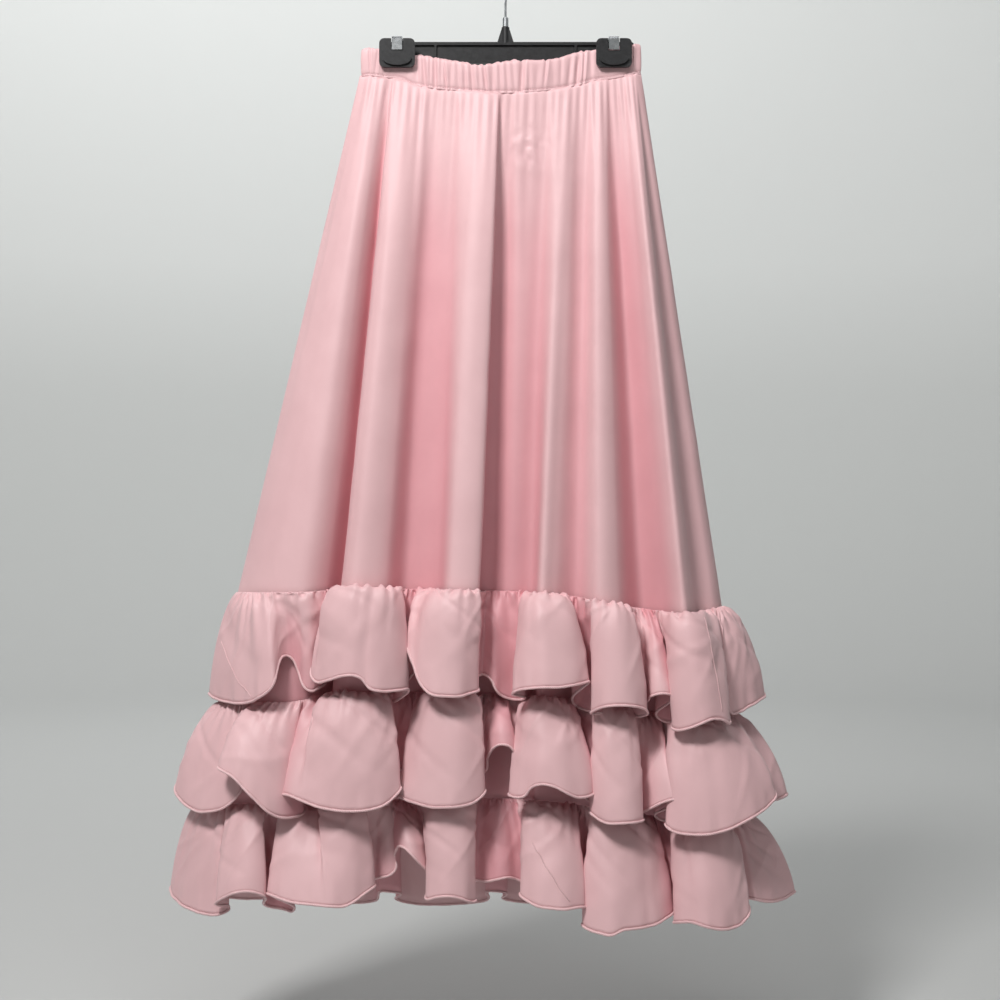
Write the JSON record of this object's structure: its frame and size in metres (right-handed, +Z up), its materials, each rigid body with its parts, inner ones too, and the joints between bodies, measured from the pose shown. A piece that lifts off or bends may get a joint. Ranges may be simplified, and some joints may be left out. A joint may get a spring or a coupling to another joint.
{
  "type": "tiered maxi skirt on a clip hanger",
  "caption": "Long gathered skirt with an elastic casing and tiers of ruffles, clipped by its waist to a bar hanger with a wire hook.",
  "frame": {"origin": "the highest point of the inside of the hanger's hook, where it rests on a rail", "axes": "+X to the viewer's right with the skirt's front facing the viewer, -Y out of the skirt's front, +Z up"},
  "size_m": [0.7593, 0.2273, 1.1785],
  "materials": {
    "cloth": "soft satin sheen, dusty rose",
    "plastic": "moulded black",
    "steel": "bright"
  },
  "bodies": {
    "root": {"waistband": "cloth", "skirt_front": "cloth", "skirt_back": "cloth", "ruffle_1_front": "cloth", "ruffle_1_back": "cloth", "ruffle_2_front": "cloth", "ruffle_2_back": "cloth", "ruffle_3_front": "cloth", "ruffle_3_back": "cloth", "hanger_bar": "plastic", "hook_collar": "steel", "hook": "steel", "clip_left_front_jaw": "plastic", "clip_left_back_jaw": "plastic", "clip_left_spring": "steel", "clip_right_front_jaw": "plastic", "clip_right_back_jaw": "plastic", "clip_right_spring": "steel"}
  },
  "joints": []
}
